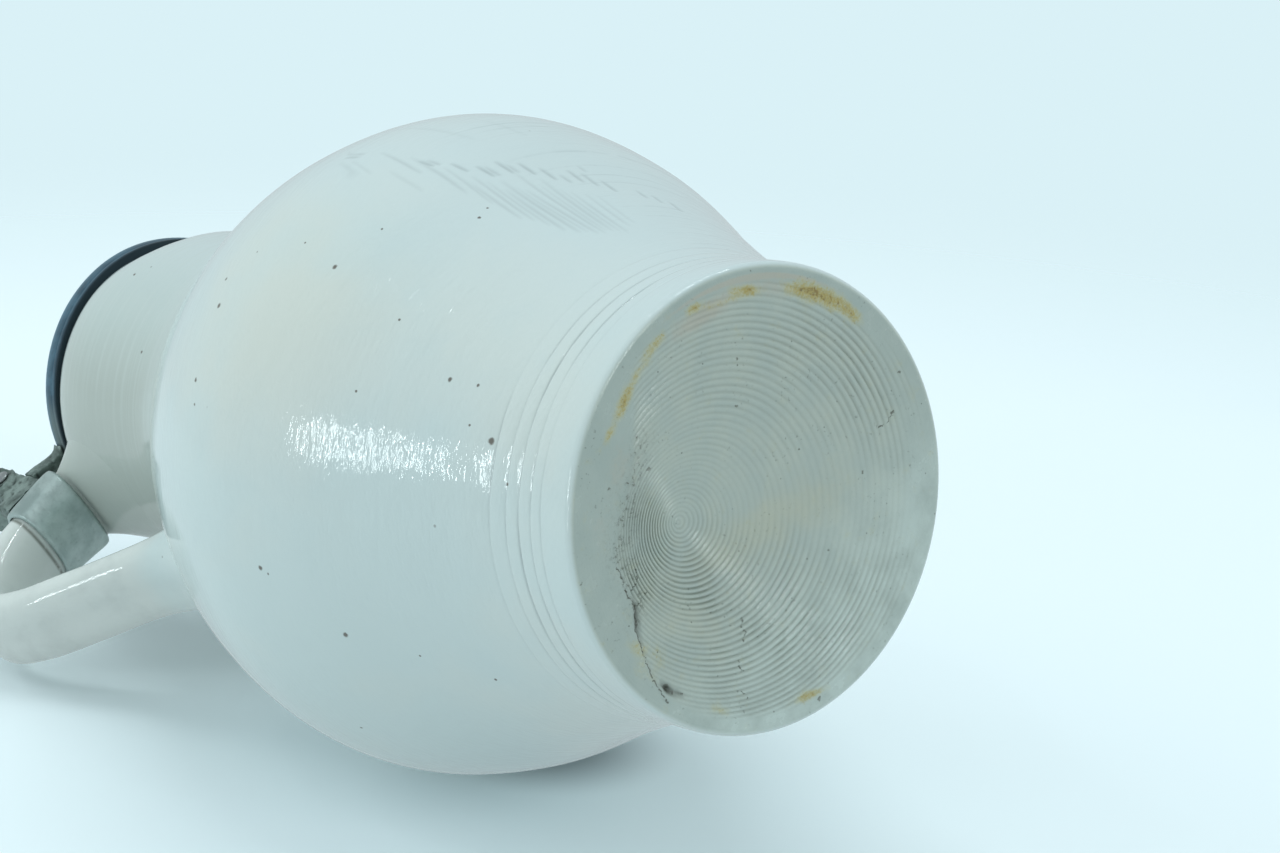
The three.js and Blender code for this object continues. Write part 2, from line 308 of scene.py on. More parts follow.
clay = {
    "wall": [
        (0.0016, 0.0575), (0.018, 0.058), (0.036, 0.0622), (0.062, 0.0718), (0.09, 0.0837), (0.118, 0.0888),
        (0.146, 0.0834), (0.172, 0.0718), (0.192, 0.0596), (0.208, 0.0505), (0.222, 0.0472), (0.24, 0.0477),
        (0.257, 0.0483), (0.269, 0.0465), (0.2756, 0.0433),
    ],
    "wallThickness": 0.006,
    "floorHeight": 0.009,
    "rimHeight": 0.278,
    "turnedLines": [0.0092, 0.0131, 0.0176, 0.0219, 0.0272],
    "lineDepth": 0.00034,
    "lineValley": 0.00013,  # the soft valley that each turned line lies in
    "lineWidth": 0.00065,
    "lineTilt": 0.0024,  # the turned lines aren't quite level
    "lineTiltAt": 25,
    # Ripples along the turned lines at one place round the foot, each [height, depth, half width]
    "ripples": [
        (0.0275, 0.00032, 0.002), (0.0222, 0.0002, 0.0009), (0.0179, 0.00024, 0.0009), (0.0131, 0.00016, 0.0006),
    ],
    "ripplesAt": 49, "ripplesSpread": 10,
    "lipReach": 0.01, "lipSpread": 24, "lipPinch": 0.0034, "pinchAngle": 62, "pinchSpread": 20, "lipStart": 0.242,
    "uneven": 0.00022, "bellyFlat": 0.00018, "bellyHeight": 0.118, "chatterDepth": 0.00016,
    "neckDrawn": 0.0022, "drawnAt": 130, "drawnSpread": 34,  # under the overhanging lid
    "baseFlat": 0.0566,  # radius of the flat face
    "edgeRound": 0.0018,
    "footSpread": 0.0007,  # how much the foot swells at the bottom
    "aroundSteps": 168,
}
wallZ = np.array([z for z, r in clay["wall"]])
wallR = np.array([r for z, r in clay["wall"]])


# Radius of the wall at heights, on the same smooth curve as the solid's
def radiusAt(height):
    height = np.asarray(height, float)
    last = len(wallZ) - 1
    i = np.clip(np.searchsorted(wallZ, height, side="right") - 1, 0, last - 1)

    def slope(k):
        a, b = np.maximum(k - 1, 0), np.minimum(k + 1, last)
        return (wallR[b] - wallR[a]) / (wallZ[b] - wallZ[a])

    span = wallZ[i + 1] - wallZ[i]
    t = np.clip((height - wallZ[i]) / span, 0, 1)
    s = 1 - t
    level = wallR[i] * s * s * (1 + 2 * t) + wallR[i + 1] * t * t * (3 - 2 * t)
    return level + span * s * t * (slope(i) * s - slope(i + 1) * t)


# How far the pouring lip stands out
def lipBulge(x, y):
    return clay["lipReach"] * bell(np.abs(azimuthOf(-x, y)), 0, clay["lipSpread"])


# How far the wall stands out or in because of the pouring lip
def lipShift(x, y, z):
    rise = np.clip((z - clay["lipStart"]) / (clay["rimHeight"] - clay["lipStart"]), 0, 1)
    pinch = clay["lipPinch"] * bell(np.abs(azimuthOf(-x, y)), clay["pinchAngle"], clay["pinchSpread"])
    return (lipBulge(x, y) - pinch) * rise * rise * (1.6 - 0.6 * rise)


# The rings that the cutting wire left on the base. Each one's centre moves towards the eye as its radius falls.
wireRings = {
    "radius": (0.0, 0.008, 0.016, 0.025, 0.035, 0.045, 0.056, 0.075),
    "centreX": (0.0222, 0.0208, 0.019, 0.0158, 0.012, 0.0086, 0.0045, 0.0004),
    "centreY": (0.0137, 0.0121, 0.0099, 0.0072, 0.005, 0.0034, 0.0018, 0.0),
    "pitchAt": (0.0, 0.01, 0.018, 0.026, 0.036, 0.046, 0.06, 0.08),
    "pitch": (0.00105, 0.00118, 0.00132, 0.00148, 0.0016, 0.00145, 0.0013, 0.0013),
    "steps": 5,  # mesh rings for each ridge
    "depth": 0.00052,
}
wireRadii = np.linspace(0, 0.08, 3000)
wirePitch = np.interp(wireRadii[1:], wireRings["pitchAt"], wireRings["pitch"])
wireCount = np.concatenate([[0], np.cumsum(np.diff(wireRadii) / wirePitch)])


def ringCentre(radius):
    return [np.interp(radius, wireRings["radius"], wireRings[key]) for key in ("centreX", "centreY")]


# Radius of the wire's ring through each point of the base
def wireRadius(x, y):
    low, high = np.zeros_like(x), np.full_like(x, 0.15)
    for _ in range(28):
        middle = (low + high) / 2
        cx, cy = ringCentre(middle)
        outside = np.hypot(x - cx, y - cy) > middle
        low, high = np.where(outside, middle, low), np.where(outside, high, middle)
    return (low + high) / 2


def bodyOutline():
    flat, steps = clay["baseFlat"], wireRings["steps"]
    rings = int(np.interp(flat, wireRadii, wireCount) * steps)
    base = [(float(np.interp(k / steps, wireCount, wireRadii)), 0.0) for k in range(rings)] + [(flat, 0.0)]
    edge = []
    for degrees in (12, 26, 42, 60, 78):
        a = math.radians(degrees)
        edge.append((flat + 0.0016 * math.sin(a), clay["edgeRound"] * (1 - math.cos(a))))
    offsets = [-2.4, -1.2, -0.6, -0.28, 0.0, 0.28, 0.6, 1.2, 2.4]
    heights = [z + clay["lineWidth"] * o for z in clay["turnedLines"] for o in offsets]
    heights += [0.002, 0.003, 0.0042, 0.0056, 0.0305, 0.033]
    heights += list(np.arange(0.036, 0.2745, 0.0031)) + [0.2756]
    wall = [(float(radiusAt(z)), float(z)) for z in sorted(heights)]
    top = clay["rimHeight"]
    rim = [
        (0.0427, top - 0.0014), (0.0419, top - 0.0005), (0.0409, top - 0.0001), (0.0399, top - 0.0002),
        (0.039, top - 0.0008), (0.0383, top - 0.0018), (0.0381, top - 0.003),
    ]
    inside = [0.265, 0.25, 0.235, 0.22, 0.206, 0.19, 0.172, 0.152, 0.13, 0.106, 0.08, 0.054, 0.032, 0.018]
    inner = [(float(radiusAt(z)) - clay["wallThickness"], z) for z in inside]
    bottom = clay["floorHeight"]
    inner += [(0.046, bottom + 0.0022), (0.038, bottom), (0.015, bottom), (0.0, bottom)]
    return base + edge + wall + rim + inner


# Sum of soft oval patches, each [x, y, half length, half width, degrees, strength] in millimetres
def blobs(x, y, rows):
    total = np.zeros_like(x)
    for cx, cy, long, wide, degrees, strength in rows:
        a = math.radians(degrees)
        dx, dy = x * 1000 - cx, y * 1000 - cy
        u, v = dx * math.cos(a) + dy * math.sin(a), dy * math.cos(a) - dx * math.sin(a)
        total += strength * np.exp(-((u / long) ** 2) - (v / wide) ** 2)
    return total


# The edge of the mark that was dragged where the wire left the clay. A crack follows its lower end.
dragEdge = [
    (0.01, 0.0505), (0.019, 0.0385), (0.0245, 0.0325), (0.033, 0.0262), (0.0405, 0.02), (0.0418, 0.012),
    (0.044, 0.0058), (0.047, 0.001), (0.0495, -0.006), (0.0508, -0.0118), (0.0516, -0.019),
]


# Distance of points to a line of points, and on which side they lie, positive to its left
def toLine(x, y, line):
    nearest = np.full_like(x, 1.0)
    side = np.zeros_like(x)
    for (x0, y0), (x1, y1) in zip(line[:-1], line[1:]):
        length = math.hypot(x1 - x0, y1 - y0)
        ux, uy = (x1 - x0) / length, (y1 - y0) / length
        along = np.clip((x - x0) * ux + (y - y0) * uy, 0, length)
        away = np.hypot(x - x0 - ux * along, y - y0 - uy * along)
        side = np.where(away < nearest, np.sign((y - y0) * ux - (x - x0) * uy), side)
        nearest = np.minimum(nearest, away)
    return nearest, side


# Patches of the base, in millimetres: where the ridges show, where they are worn, and the stains
ridgeShow = [
    (20, -24, 26, 19, -25, 0.75), (2, -44, 28, 11, -6, 0.55), (-41, 6, 24, 12, 84, 0.6), (30, 20, 9, 5, 130, 0.8),
    (35, 10, 9, 8, 0, 0.7), (26, -2, 12, 9, -30, 0.65), (-20, 33, 26, 12, 30, 0.25),
]
ridgeWorn = [
    (14, 26, 9, 7, 20, 0.25), (-18, -22, 15, 9, 30, 0.6), (-14, -10, 22, 12, 25, 0.45), (3, 2, 14, 9, 30, 0.35),
    (-33, -37, 9, 9, 0, 0.5),
]
ochre = [
    (-45, 26, 8, 2.4, 62, 1), (-40, 33, 6, 1.8, 48, 0.75), (-49, 18, 5, 1.6, 75, 0.6),
    (-27.5, 44, 4.2, 1.3, 42, 0.95), (-12.5, 51.3, 2.6, 1, 25, 0.8), (0.5, 52.2, 4, 1.3, -3, 0.7),
    (-20, 46.5, 7, 1.2, 25, 0.45), (16.5, 47.3, 5, 1.5, -22, 0.9), (24.5, 44.4, 2, 1, -20, 0.8),
    (8, 50, 7, 1.6, -10, 0.35), (18.5, -49.2, 4.6, 1.2, 25, 0.95), (41, -32, 3.5, 1.2, 55, 0.6),
    (50, -3.5, 6, 2.2, -75, 0.45), (46, -9, 5, 2.2, -80, 0.3),
]
pinkish = [
    (-14, 48, 12, 3, 12, 0.8), (-34, 39, 10, 3.2, 45, 0.5), (27, 36, 8, 5, -45, 0.4), (40, 28, 7, 5, -60, 0.3),
]
brownish = [
    (8, -3, 24, 9, 22, 0.55), (-14, -12, 14, 9, 25, 0.35), (33, -12, 14, 10, 60, 0.3), (38, 6, 10, 8, 90, 0.25),
]
pits = [(49, -16.6, 1.9, 0.8, 78, 1), (47.2, -20, 1.2, 0.7, 60, 0.35)]
margins = [(215, 32, 0.044, 0.049), (168, 16, 0.0488, 0.052)]  # smooth parts, each [degrees, spread, from, to]

# Depths of what lies on the base besides the wire's ridges, in metres
baseDepths = {"skin": 0.00005, "crumbs": 0.00028, "crack": 0.00012, "gape": 0.0006, "flake": 0.00005, "pit": 0.0016}


# Depth of the base's face at each point, and the masks for its paint
def baseFace(x, y):
    radius, fromAxis, angle = wireRadius(x, y), np.hypot(x, y), azimuthOf(x, y) % 360
    phase = np.interp(radius, wireRadii, wireCount) + 0.1 * rough(x, y, 0.02, 3.0, 2)
    groove = (0.5 - 0.5 * np.cos(2 * math.pi * phase)) ** 2.1
    strength = np.clip(0.3 + blobs(x, y, ridgeShow) - 0.6 * blobs(x, y, ridgeWorn), 0.17, 1.1)
    away, side = toLine(x, y, dragEdge)
    signed = away * side * 1000 + 0.5 * rough(x, y, 0.006, 4.0)
    smear = step(signed, -0.4, 1.1)
    patches = np.clip(0.85 + 0.45 * rough(x, y, 0.01, 7.0), 0.45, 1)
    margin = step(fromAxis + 0.0006 * rough(x, y, 0.012, 1.0, 2), 0.052, 0.0545)
    for middle, spread, inner, outer in margins:
        margin = np.maximum(margin, bell(angle, middle, spread) * step(fromAxis, inner, outer))
    smoothed = np.clip(smear + margin, 0, 1)
    ridges = groove * strength * (1 - smoothed) * patches
    depth = wireRings["depth"] * ridges + baseDepths["skin"]
    # Crumbled clay along the drag mark
    crumbled = bell(away, 0, 0.0042) * step(y, -0.001, 0.006) * (1 - step(y, 0.034, 0.042))
    crumbled *= 1 - 0.6 * step(signed, 0.5, 2.0)
    depth += crumbled * baseDepths["crumbs"] * np.clip(rough(x, y, 0.0022, 5.0) + 0.3, 0, 1.2)
    # The crack below it, with a flake that stands up beside it and the pit at its foot
    crack = bell(away, 0, 0.00032 + 0.0004 * bell(y, 0.0035, 0.0035)) * (1 - step(y, 0.006, 0.01))
    depth += crack * (baseDepths["crack"] + baseDepths["gape"] * bell(y, 0.0035, 0.004))
    depth -= baseDepths["flake"] * blobs(x, y, [(40.3, 10.2, 1.5, 1.2, 20, 1.0)])
    pit = blobs(x, y, pits)
    depth += pit * baseDepths["pit"]
    dark = np.clip(crack * (0.15 + 0.6 * bell(y, 0.0035, 0.0045)) + pit * 1.5 + crumbled * 0.1, 0, 1)
    rim = 1.1 * bell(fromAxis, 0.0548, 0.0006) * bell(angle, 124, 26)
    # The groove mask also sets where painted shade darkens the wire's grooves
    return depth, {
        "groove": ridges, "dark": dark, "smooth": smoothed, "crumbled": np.clip(crumbled, 0, 1),
        "ochre": blobs(x, y, ochre), "pinkish": blobs(x, y, pinkish) + rim, "brownish": blobs(x, y, brownish),
    }


# Faint rings that the fingers leave on the outside of a thrown wall
def throwingRings(z):
    return 0.00002 * np.sin(z / 0.0041 + 1.3 * np.sin(z / 0.017))


# How strong each turned line is on its way round, as degrees and strengths
lineStrength = [
    ((-40, 5, 38, 60, 120, 200, 260), (0.2, 0.35, 0.45, 0.15, 0.2, 0.4, 0.2)),
    ((-40, -27, -6, 3, 18, 42, 70, 84, 100, 106, 125, 220, 290),
     (0.2, 0.5, 1.0, 1.0, 0.6, 0.4, 0.3, 0.8, 1.0, 0.4, 0.25, 0.7, 0.3)),
    ((-40, -26, 0, 22, 28, 40, 60, 66, 82, 96, 126, 150, 240, 300),
     (0.3, 0.6, 0.7, 1.0, 1.0, 0.5, 0.5, 1.0, 1.0, 0.7, 0.5, 0.3, 0.8, 0.4)),
    ((-40, 5, 36, 50, 72, 78, 86, 128, 230, 300), (0.1, 0.45, 0.5, 0.4, 0.3, 0.7, 0.6, 0.25, 0.5, 0.1)),
    ((-40, 22, 36, 54, 70, 100, 200, 300), (0.1, 0.3, 0.4, 0.6, 0.1, 0.2, 0.3, 0.1)),
]

# Marks of a tool that chattered down the wall, in degrees and millimetres
shortMarks = [  # each [degrees, top, bottom, depth], all of the same half width and lean
    (100.2, 122, 116, 0.8), (101.3, 121, 115.5, 0.6), (104.2, 98, 92, 1), (105.2, 96, 91, 0.7), (107, 90, 83.5, 0.9),
    (109.6, 84.5, 78, 1), (110.6, 83, 77.5, 0.7), (113.2, 83.5, 76.5, 1), (114.2, 81, 76, 0.6), (116.5, 80, 73.5, 1),
    (119, 76, 69.5, 0.9), (121.2, 71.5, 67, 0.7), (123.8, 73, 66.5, 0.9), (126, 71, 64, 0.8), (128.5, 67, 60.5, 0.9),
    (134.5, 62, 57.5, 0.8), (137.5, 60, 55.5, 0.8), (140.8, 58, 52, 0.9), (127, 74.5, 71, 0.5),
]
longMarks = [  # each [degrees, top, bottom, half width, lean, depth]
    (97, 121, 107, 0.8, 2, 0.35), (98.2, 118, 104, 0.5, 1.8, 0.3), (101.3, 131, 115, 0.6, 1.4, 0.45),
    (102.2, 111, 92, 0.5, 0.9, 0.6), (103.4, 101, 77, 0.55, 1, 0.55), (104.6, 90, 70, 0.45, 0.8, 0.45),
    (104.9, 80, 61, 0.5, 0.3, 0.55), (106.4, 82, 58, 0.45, 0.5, 0.6), (107.4, 78, 54, 0.45, 0.4, 0.5),
    (108.4, 73, 50, 0.6, 0.3, 0.6), (109.9, 76, 47, 0.6, -0.1, 0.65), (111, 72, 46, 0.45, -0.4, 0.5),
    (112.2, 70, 44, 0.55, -0.6, 0.6), (113.8, 77, 43, 0.5, -0.3, 0.6), (115, 70, 44, 0.45, 0.1, 0.45),
    (116.3, 72, 43, 0.6, 0.3, 0.55), (117.5, 66, 42, 0.45, 0.2, 0.45), (118.8, 64, 41, 0.5, 0.2, 0.5),
    (121, 62, 43, 0.5, 0.2, 0.4), (123, 60, 44, 0.45, 0.2, 0.3), (113.5, 126, 95, 0.9, -3.2, 0.22),
    (124, 108, 92, 0.9, -1.2, 0.2), (98.6, 101, 86, 0.6, 0.8, 0.3),
]
chatter = [(at, high, low, 0.55, -0.3, depth) for at, high, low, depth in shortMarks] + longMarks
chatterParts = [(96, 128, 0.042, 0.124), (128, 144, 0.05, 0.066)]  # where the wall's mesh is finer for them


def chatterAt(x, y, z, radius):
    azimuth, total = azimuthOf(x, y), np.zeros_like(x)
    for degrees, high, low, half, lean, strength in chatter:
        middle, reach = (high + low) / 2, (high - low) / 2
        along = (z * 1000 - middle) / reach
        off = (azimuth - degrees) * math.pi / 180 * radius * 1000 - lean * along
        # Steep on one side and soft on the other, as a tool's edge leaves it
        across = np.where(off < 0, off / (half * 0.8), off / (half * 1.3))
        ends = np.where(np.abs(along) < 1, (1 - along ** 2) * (1 - 0.35 * along), 0)
        total = np.maximum(total, strength * bell(across, 0, 1) * np.sqrt(np.clip(ends, 0, 1.2)))
    return total


# Cuts the wall's faces finer within parts, each [from degrees, to degrees, from height, to height]
def refine(piece, parts, cuts):
    pick(piece)
    x, y, z = vectors(piece.data.polygons, "center").T
    azimuth, chosen = azimuthOf(x, y), np.zeros(len(x), bool)
    for low, high, bottom, top in parts:
        chosen |= (azimuth > low) & (azimuth < high) & (z > bottom) & (z < top)
    chosen &= np.hypot(x, y) > radiusAt(z) - 0.003
    mode("EDIT")
    bpy.ops.mesh.select_mode(type="FACE")
    selectAll("DESELECT")
    mode("OBJECT")
    piece.data.polygons.foreach_set("select", chosen)
    mode("EDIT")
    bpy.ops.mesh.subdivide(number_cuts=cuts)
    bpy.ops.mesh.select_mode(type="VERT")
    mode("OBJECT")


def makeBody():
    piece = turn("stoneware_body", bodyOutline(), clay["aroundSteps"])
    refine(piece, chatterParts, 6)
    where = points(piece)
    x, y, z = where.T.copy()
    radius, azimuth = np.hypot(x, y), azimuthOf(x, y)
    onBase = (z < 0.00002) & (radius < clay["baseFlat"] + 0.00001)
    outside = (z >= 0.0019) & (radius > radiusAt(z) - 0.0015) & (z < clay["rimHeight"] - 0.0023)
    onRim = (z > 0.2748) & ~outside & (radius > 0.038)
    # Turned lines
    shift, line = np.zeros_like(x), np.zeros_like(x)
    for height, (degrees, strength) in zip(clay["turnedLines"], lineStrength):
        cut = np.interp(azimuth, degrees, strength, period=360)
        cut = cut * (0.8 + 0.4 * np.array([noise((a * 0.21, height * 900, 2.0)) for a in azimuth]))
        sharp = bell(z, height, clay["lineWidth"] * 0.42) * np.clip(cut, 0.1, 1)
        valley = clay["lineValley"] * (0.3 + 0.7 * cut) * bell(z, height + 0.0004, 0.0015)
        shift -= clay["lineDepth"] * sharp + valley
        line = np.maximum(line, sharp)
    # Ripples, throwing rings, tool marks and a slightly uneven wall, which swells at the foot
    for height, deep, wide in clay["ripples"]:
        shift -= deep * bell(azimuth, clay["ripplesAt"], clay["ripplesSpread"]) * bell(z, height, wide)
    shift += throwingRings(z) * step(z, 0.03, 0.06) + unevenAt(where, 9) * clay["uneven"] * step(z, 0.0, 0.02)
    shift -= clay["bellyFlat"] * bell(z, clay["bellyHeight"], 0.04)
    marks = np.where(outside & (np.abs(azimuth - 120) < 30), chatterAt(x, y, z, radius), 0)
    shift -= marks * clay["chatterDepth"] - clay["footSpread"] * (1 - step(z, 0.008, 0.03))
    drawn = clay["neckDrawn"] * bell(azimuth, clay["drawnAt"], clay["drawnSpread"])
    shift -= drawn * step(z, 0.254, 0.273)
    tilt = clay["lineTilt"] * np.cos(np.radians(azimuth - clay["lineTiltAt"]))
    z = np.where(outside, z + tilt * step(z, 0.0035, 0.0095) * (1 - step(z, 0.03, 0.046)), z)
    target = np.where(outside, radiusAt(z) + shift, radius) + lipShift(x, y, z)
    target = target - onRim * drawn * np.clip((radius - 0.0381) / 0.005, 0, 1)
    scale = np.where(radius > 0.001, target / np.maximum(radius, 0.001), 1)
    x, y = x * scale, y * scale
    # Each ring of points on the base is moved towards the centre of its wire ring
    share = 1 - step(radius, 0.03, clay["baseFlat"])
    cx, cy = ringCentre(radius)
    x, y = np.where(onBase, x + share * cx, x), np.where(onBase, y + share * cy, y)
    depth, masks = baseFace(x[onBase], y[onBase])
    fromAxis = np.hypot(x, y)
    z[onBase] += depth * (1 - step(fromAxis[onBase], 0.055, 0.0565))
    setPoints(piece, np.stack([x, y, z], 1))
    for name, values in masks.items():
        whole = np.zeros_like(x)
        whole[onBase] = values
        addAttribute(piece, name, whole)
    # Where painted shade darkens the turned lines and tool marks
    addAttribute(piece, "incisedShade", line * outside + marks * 0.75)
    addAttribute(piece, "baseFace", (z < 0.0019) * (1 - step(fromAxis, 0.0568, 0.0579)) * (radius < 0.0585))
    smooth(piece, 60)
    return piece


# Handle

pull = {
    "halfWidth": 0.0119, "halfThickness": 0.0069,
    "route": [
        (0.038, 0.266), (0.046, 0.2674), (0.06, 0.2684), (0.076, 0.2664), (0.091, 0.2588), (0.0996, 0.246),
        (0.0956, 0.233), (0.085, 0.219), (0.0675, 0.1974), (0.06, 0.187),
    ],
    "neckEnd": 0.0513,  # where the roots begin
    "shoulderEnd": 0.0732,
    "groove": 0.0008,
    "sides": 48,
    "rings": 130,
    "smaller": 0.978,  # keeps the uneven surface inside the solid's
    "neckWider": 0.07,
}

# How far the handle's two roots spread on the wall, and how full they are
roots = {
    "neckUp": 0.0024, "neckDown": 0.0238, "neckAcross": 0.011, "neckFull": 0.7,
    "shoulderUp": 0.0026, "shoulderDown": 0.0125, "shoulderNear": 0.002, "shoulderFar": 0.0065, "shoulderFull": 0.15,
    "rings": 16,
}


def between(p, q, low, high, t):
    return (high - t) / (high - low) * p + (t - low) / (high - low) * q


# Points and directions evenly along a smooth curve through rows of (x, z)
def smoothRoute(rows, count):
    rows = [np.array(r, float) for r in rows]
    rows = [2 * rows[0] - rows[1]] + rows + [2 * rows[-1] - rows[-2]]
    fine = []
    for a, b, c, d in zip(rows[:-3], rows[1:-2], rows[2:-1], rows[3:]):
        knots = [0.0]
        for p, q in ((a, b), (b, c), (c, d)):
            knots.append(knots[-1] + math.sqrt(np.linalg.norm(q - p)))
        k0, k1, k2, k3 = knots
        for t in np.linspace(k1, k2, 60, endpoint=False):
            first, second, third = between(a, b, k0, k1, t), between(b, c, k1, k2, t), between(c, d, k2, k3, t)
            before, after = between(first, second, k0, k2, t), between(second, third, k1, k3, t)
            fine.append(between(before, after, k1, k2, t))
    fine.append(rows[-2])
    fine = np.array(fine)
    length = np.concatenate([[0], np.cumsum(np.linalg.norm(np.diff(fine, axis=0), axis=1))])
    at = np.linspace(0, length[-1], count)
    centre = np.stack([np.interp(at, length, fine[:, k]) for k in (0, 1)], 1)
    direction = np.gradient(centre, at, axis=0)
    return centre, direction / np.linalg.norm(direction, axis=1)[:, None]


# One point of the handle's rounded section: across, and out along its back
def section(angle, grow=0.0, dip=True):
    across, along = math.cos(angle), math.sin(angle)
    fuller = 1 + 0.05 * (2 * across * along) ** 2
    groove = pull["groove"] * along * math.exp(-((across / 0.36) ** 2)) if dip and along > 0 else 0
    return across * (pull["halfWidth"] + grow) * fuller, along * (pull["halfThickness"] + grow) * fuller - groove


# The handle is a little wider where it nears the neck
def widening(x):
    return 1 + pull["neckWider"] * float(step(-x, -mount["bandTo"], -mount["bandFrom"]))


# Where a line from the handle meets the wall
def ontoWall(start, direction):
    t = 0.0
    while t < 0.03:
        p = start + direction * t
        if math.hypot(p[0], p[1]) <= float(radiusAt(min(max(p[2], 0.002), 0.2763))):
            break
        t += 0.0002
    return start + direction * t


# The wall's point at the height and angle of p, and its outward normal
def wallPoint(p):
    height = min(max(p[2], 0.002), 0.2768)
    radius = float(radiusAt(height))
    lean = (float(radiusAt(height + 0.0003)) - float(radiusAt(height - 0.0003))) / 0.0006
    angle = math.atan2(p[1], p[0])
    normal = np.array([math.cos(angle), math.sin(angle), -lean])
    return np.array([radius * math.cos(angle), radius * math.sin(angle), height]), normal / np.linalg.norm(normal)


# Rings that carry one end of the handle into the wall. A fuller root bulges more between the two.
def rootRings(ring, direction, outward, fullness):
    steps = roots["rings"]
    rows = [[] for _ in range(steps)]
    for p, out in zip(ring, outward):
        start = np.array(p)
        hit = ontoWall(start, direction)
        landing, normal = wallPoint(hit + out)
        landing = landing - normal * 0.00015
        knee = hit * (1 - fullness) + (start + landing) / 2 * fullness + normal * 0.0004
        for k in range(steps):
            t = (k + 1) / steps
            rows[k].append(start * (1 - t) ** 2 + 2 * knee * t * (1 - t) + landing * t * t)
    return rows


# A tube through rings of points, made from one grid. It is closed at both ends, or joined to itself.
def sheetOf(name, rings, joined=False):
    count, sides = len(rings), len(rings[0])
    rows = count if joined else count - 1
    clearSelection()
    bpy.ops.mesh.primitive_grid_add(x_subdivisions=sides, y_subdivisions=rows, size=1)
    piece = bpy.context.object
    piece.name = piece.data.name = name
    where = points(piece)
    column = np.rint((where[:, 0] + 0.5) * sides).astype(int) % sides
    row = np.rint((where[:, 1] + 0.5) * rows).astype(int) % count
    setPoints(piece, np.array(rings)[row, column])
    edit(piece)
    bpy.ops.mesh.remove_doubles(threshold=0.000002)
    if not joined:
        selectAll("DESELECT")
        bpy.ops.mesh.select_non_manifold()
        bpy.ops.mesh.edge_face_add()
    selectAll("SELECT")
    bpy.ops.mesh.normals_make_consistent(inside=False)
    mode("OBJECT")
    return piece


handleCentre, handleDirection = smoothRoute(pull["route"], 1200)
handleTurn = int(np.argmax(handleCentre[:, 0]))


def handleRings():
    x = handleCentre[:, 0]
    first = int(np.argmin(np.abs(x[:handleTurn] - pull["neckEnd"])))
    last = handleTurn + int(np.argmin(np.abs(x[handleTurn:] - pull["shoulderEnd"])))
    angles = [2 * math.pi * k / pull["sides"] for k in range(pull["sides"])]
    rings = []
    for i in np.linspace(first, last, pull["rings"]).astype(int):
        (cx, cz), (dx, dz) = handleCentre[i], handleDirection[i]
        ring = []
        for a in angles:
            side, lift = section(a)
            uneven = pull["smaller"] + 0.012 * noise((cx * 60, cz * 60, a))
            side *= widening(cx) if i < handleTurn else 1
            ring.append((cx - dz * lift * uneven, side * uneven, cz + dx * lift * uneven))
        rings.append(ring)
    return rings, angles, handleDirection[first], handleDirection[last]


def makeHandle():
    rings, angles, atNeck, atShoulder = handleRings()
    neckOut, shoulderOut = [], []
    for a in angles:
        across, along = math.cos(a), math.sin(a)
        under = (1 - along) / 2
        rise = roots["neckUp"] * (1 - under) ** 2 - roots["neckDown"] * under ** 2
        neckOut.append(np.array([0, across * roots["neckAcross"] * (0.45 + 0.55 * under), rise]))
        reach = roots["shoulderDown"] if along > 0 else roots["shoulderUp"]
        aside = roots["shoulderNear"] if across > 0 else roots["shoulderFar"]
        shoulderOut.append(np.array([0.3 * along * reach, across * aside, -along * reach]))
    neckRoot = rootRings(rings[0], -np.array([atNeck[0], 0, atNeck[1]]), neckOut, roots["neckFull"])
    shoulderWay = np.array([atShoulder[0], 0, atShoulder[1]])
    shoulderRoot = rootRings(rings[-1], shoulderWay, shoulderOut, roots["shoulderFull"])
    inner = [[np.array(p) * (0.95, 0.95, 1) for p in neckRoot[-1]]]
    outer = [[np.array(p) * (0.96, 0.96, 1) for p in shoulderRoot[-1]]]
    piece = sheetOf("pulled_handle", inner + neckRoot[::-1] + rings + shoulderRoot + outer)
    smooth(piece, 60)
    return piece


# Pewter band and hinge

mount = {
    "bandFrom": 0.0525, "bandTo": 0.0705, "bandThickness": 0.0016, "gap": 0.0002, "bandEdge": 0.0008,
    "bandSides": 96, "dents": 0.00006,
    "hingeX": 0.06, "hingeZ": 0.289, "pinRadius": 0.0016, "pinEnd": 0.0147, "headRadius": 0.0025,
}


def bandRings(grow, count, rounding):
    x = handleCentre[:handleTurn, 0]
    rings = []
    for k, where in enumerate(np.linspace(mount["bandFrom"], mount["bandTo"], count)):
        i = int(np.argmin(np.abs(x - where)))
        (cx, cz), (dx, dz) = handleCentre[i], handleDirection[i]
        edge = rounding * (1 - math.sqrt(max(0.0, 1 - (2 * k / (count - 1) - 1) ** 12)))
        ring = []
        for s in range(mount["bandSides"]):
            dent = mount["dents"] * noise((where * 260, s * 0.35, grow * 900)) if rounding else 0
            side, lift = section(2 * math.pi * s / mount["bandSides"], grow - edge + dent, dip=False)
            ring.append((cx - dz * lift, side * widening(cx), cz + dx * lift))
        rings.append(ring)
    return rings


def makeBand():
    outer = bandRings(mount["gap"] + mount["bandThickness"] - mount["dents"], 41, mount["bandEdge"])
    inner = bandRings(mount["gap"], 15, 0.0)
    piece = sheetOf("pewter_band", outer + inner[::-1], joined=True)
    smooth(piece, 50)
    return piece


castingVoxel = 0.0004
castings = {
    "hinge_bracket": {"wearAndHighlight": 6, "lumpSize": 0.0046, "lumps": 0.00035, "pitSize": 0.0014, "pits": 0.00035},
    "lid_tang": {"wearAndHighlight": 8, "lumpSize": 0.005, "lumps": 0.00022, "pitSize": 0.0015, "pits": 0.0002},
    "thumb_rest": {"wearAndHighlight": 10, "lumpSize": 0.006, "lumps": 0.00015, "pitSize": 0.0012, "pits": 0.00012},
}


